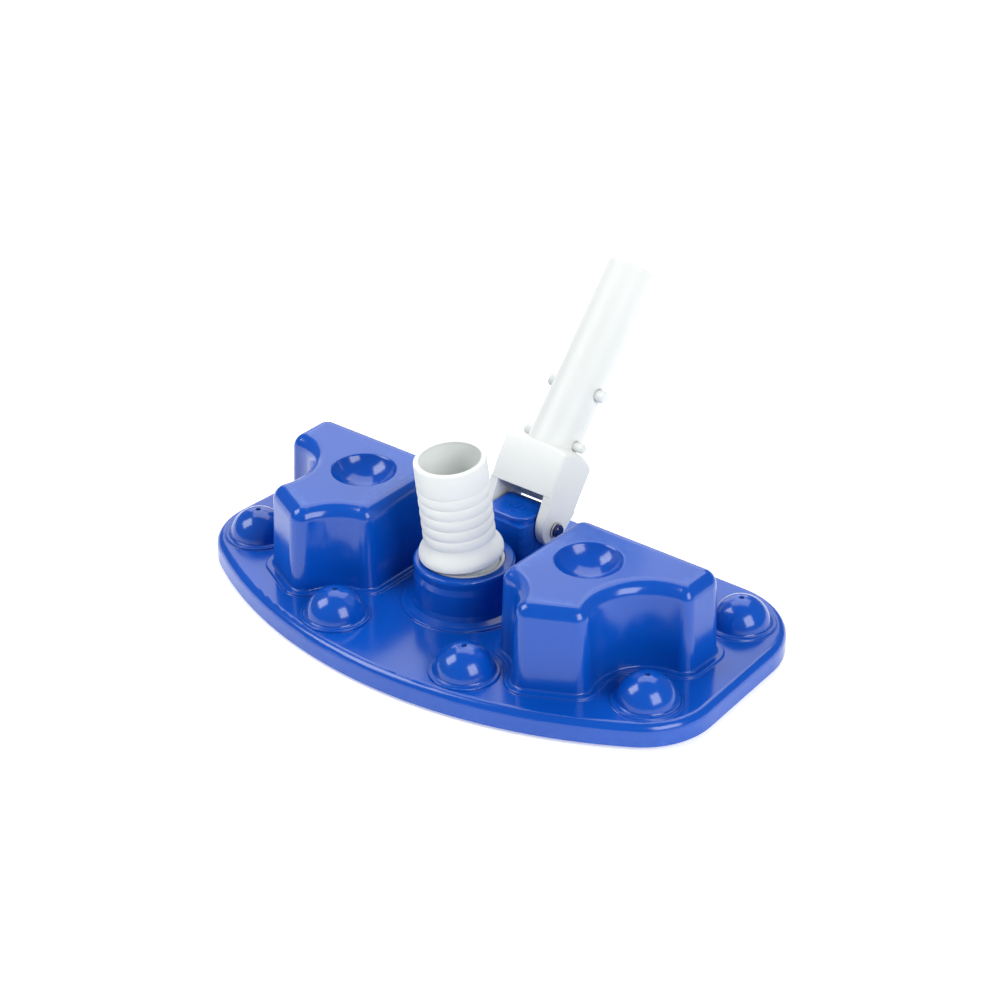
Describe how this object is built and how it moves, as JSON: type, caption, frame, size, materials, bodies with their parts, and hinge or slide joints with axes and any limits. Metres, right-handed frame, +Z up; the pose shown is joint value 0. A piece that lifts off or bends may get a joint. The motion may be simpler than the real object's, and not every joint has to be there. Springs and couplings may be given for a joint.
{
  "type": "manual vacuum head",
  "caption": "Manual pool vacuum head: curved skirted plate with ballast lobes, domed ball rollers, a leaning swivel hose cuff and a tilting handle with snap buttons.",
  "frame": {"origin": "on the floor under the centre of the hose collar", "axes": "+X across the head, +Y towards the handle and the straight back edge, +Z up"},
  "size_m": [0.317, 0.2332, 0.1612],
  "materials": {
    "blue_plastic": "glossy moulded blue",
    "white_plastic": "glossy moulded white",
    "navy_pin": "glossy dark blue",
    "ballast_iron": "rough cast",
    "screw_steel": "stainless",
    "seal_rubber": "black rubber",
    "ball_plastic": "satin white"
  },
  "bodies": {
    "head": {"body_shell": "blue_plastic", "lobe_housing_right": "blue_plastic", "lobe_housing_left": "blue_plastic", "ballast_right": "ballast_iron", "ballast_left": "ballast_iron", "ballast_cover_right": "blue_plastic", "ballast_cover_left": "blue_plastic", "cover_screws": "screw_steel", "swivel_retainer": "white_plastic", "retainer_screws": "screw_steel", "pivot_block": "blue_plastic", "pivot_block_screws": "screw_steel", "pivot_pin": "navy_pin", "pivot_pin_clip": "screw_steel", "ball_ring_front_right": "blue_plastic", "ball_ring_front_left": "blue_plastic", "ball_ring_side_right": "blue_plastic", "ball_ring_side_left": "blue_plastic", "ball_ring_back_right": "blue_plastic", "ball_ring_back_left": "blue_plastic"},
    "swivel": {"swivel_seat": "white_plastic", "swivel_seal": "seal_rubber"},
    "cuff": {"hose_cuff": "white_plastic"},
    "handle": {"handle": "white_plastic", "snap_clip_spring": "white_plastic"},
    "button_right": {"snap_button_right": "white_plastic"},
    "button_left": {"snap_button_left": "white_plastic"},
    "ball_front_right": {"ball_front_right": "ball_plastic"},
    "ball_front_left": {"ball_front_left": "ball_plastic"},
    "ball_side_right": {"ball_side_right": "ball_plastic"},
    "ball_side_left": {"ball_side_left": "ball_plastic"},
    "ball_back_right": {"ball_back_right": "ball_plastic"},
    "ball_back_left": {"ball_back_left": "ball_plastic"}
  },
  "joints": [
    {"name": "swivel_turn", "type": "hinge", "parent": "head", "child": "swivel", "pos_m": [0, 0, 0.03], "axis": [0, 0, 1], "continuous": true},
    {"name": "cuff_lean", "type": "hinge", "parent": "swivel", "child": "cuff", "pos_m": [0, 0, 0.03], "axis": [0.8471, -0.5314, 0], "range_deg": [-12.2, 0]},
    {"name": "handle_tilt", "type": "hinge", "parent": "head", "child": "handle", "pos_m": [0, 0.0507, 0.0404], "axis": [-1, 0, 0], "range_deg": [-46, 45]},
    {"name": "snap_button_right", "type": "slide", "parent": "handle", "child": "button_right", "axis": [-1, 0, 0], "range_m": [0, 0.0047], "stiffness_N_per_m": 1500, "springref_m": -0.002},
    {"name": "snap_button_left", "type": "slide", "parent": "handle", "child": "button_left", "axis": [1, 0, 0], "range_m": [0, 0.0047], "stiffness_N_per_m": 1500, "springref_m": -0.002},
    {"name": "roll_front_right", "type": "hinge", "parent": "head", "child": "ball_front_right", "pos_m": [0.0431, -0.0533, 0.0137], "axis": [1, 0, 0], "continuous": true},
    {"name": "roll_front_left", "type": "hinge", "parent": "head", "child": "ball_front_left", "pos_m": [-0.0431, -0.0533, 0.0137], "axis": [1, 0, 0], "continuous": true},
    {"name": "roll_side_right", "type": "hinge", "parent": "head", "child": "ball_side_right", "pos_m": [0.1302, -0.0174, 0.0137], "axis": [1, 0, 0], "continuous": true},
    {"name": "roll_side_left", "type": "hinge", "parent": "head", "child": "ball_side_left", "pos_m": [-0.1302, -0.0174, 0.0137], "axis": [1, 0, 0], "continuous": true},
    {"name": "roll_back_right", "type": "hinge", "parent": "head", "child": "ball_back_right", "pos_m": [0.1262, 0.0708, 0.0137], "axis": [1, 0, 0], "continuous": true},
    {"name": "roll_back_left", "type": "hinge", "parent": "head", "child": "ball_back_left", "pos_m": [-0.1262, 0.0708, 0.0137], "axis": [1, 0, 0], "continuous": true}
  ]
}
